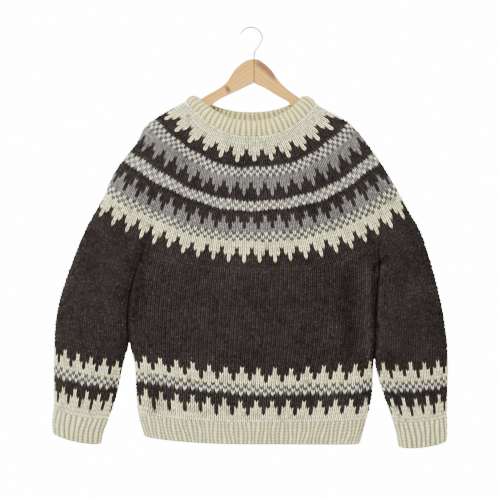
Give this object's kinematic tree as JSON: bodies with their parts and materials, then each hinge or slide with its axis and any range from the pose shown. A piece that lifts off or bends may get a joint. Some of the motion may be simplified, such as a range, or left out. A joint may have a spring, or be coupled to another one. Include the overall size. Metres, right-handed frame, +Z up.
{
  "type": "fair isle jumper on wooden hanger",
  "caption": "Round-yoke stranded wool jumper with ribbed neck, hem and cuffs, hanging flat and open on a plain wooden hanger with a wire hook.",
  "frame": {"origin": "underside of the crown of the hanger's hook, where it rests on a rail or knob", "axes": "+Z up along the hanging jumper, +X to the right of someone looking at its front, +Y from its front to its back"},
  "size_m": [0.791, 0.0642, 0.8434],
  "materials": {
    "neck_wool": "cream rib in soft unspun wool, folded double",
    "yoke_wool": "stranded rounds of cream, grey, white and dark brown wool",
    "body_wool": "plain stocking stitch in dark brown heather wool",
    "rib_wool": "cream rib in soft unspun wool",
    "hanger_wood": "pale lacquered pine with a knot and a reddish streak",
    "hook_wire": "bright plated wire"
  },
  "bodies": {
    "root": {"neck_band": "neck_wool", "yoke": "yoke_wool", "body": "body_wool", "hem_rib": "rib_wool", "sleeve_left": "body_wool", "sleeve_right": "body_wool", "cuff_left": "rib_wool", "cuff_right": "rib_wool", "hanger_arm_left": "hanger_wood", "hanger_arm_right": "hanger_wood", "hanger_hook": "hook_wire"}
  },
  "joints": []
}
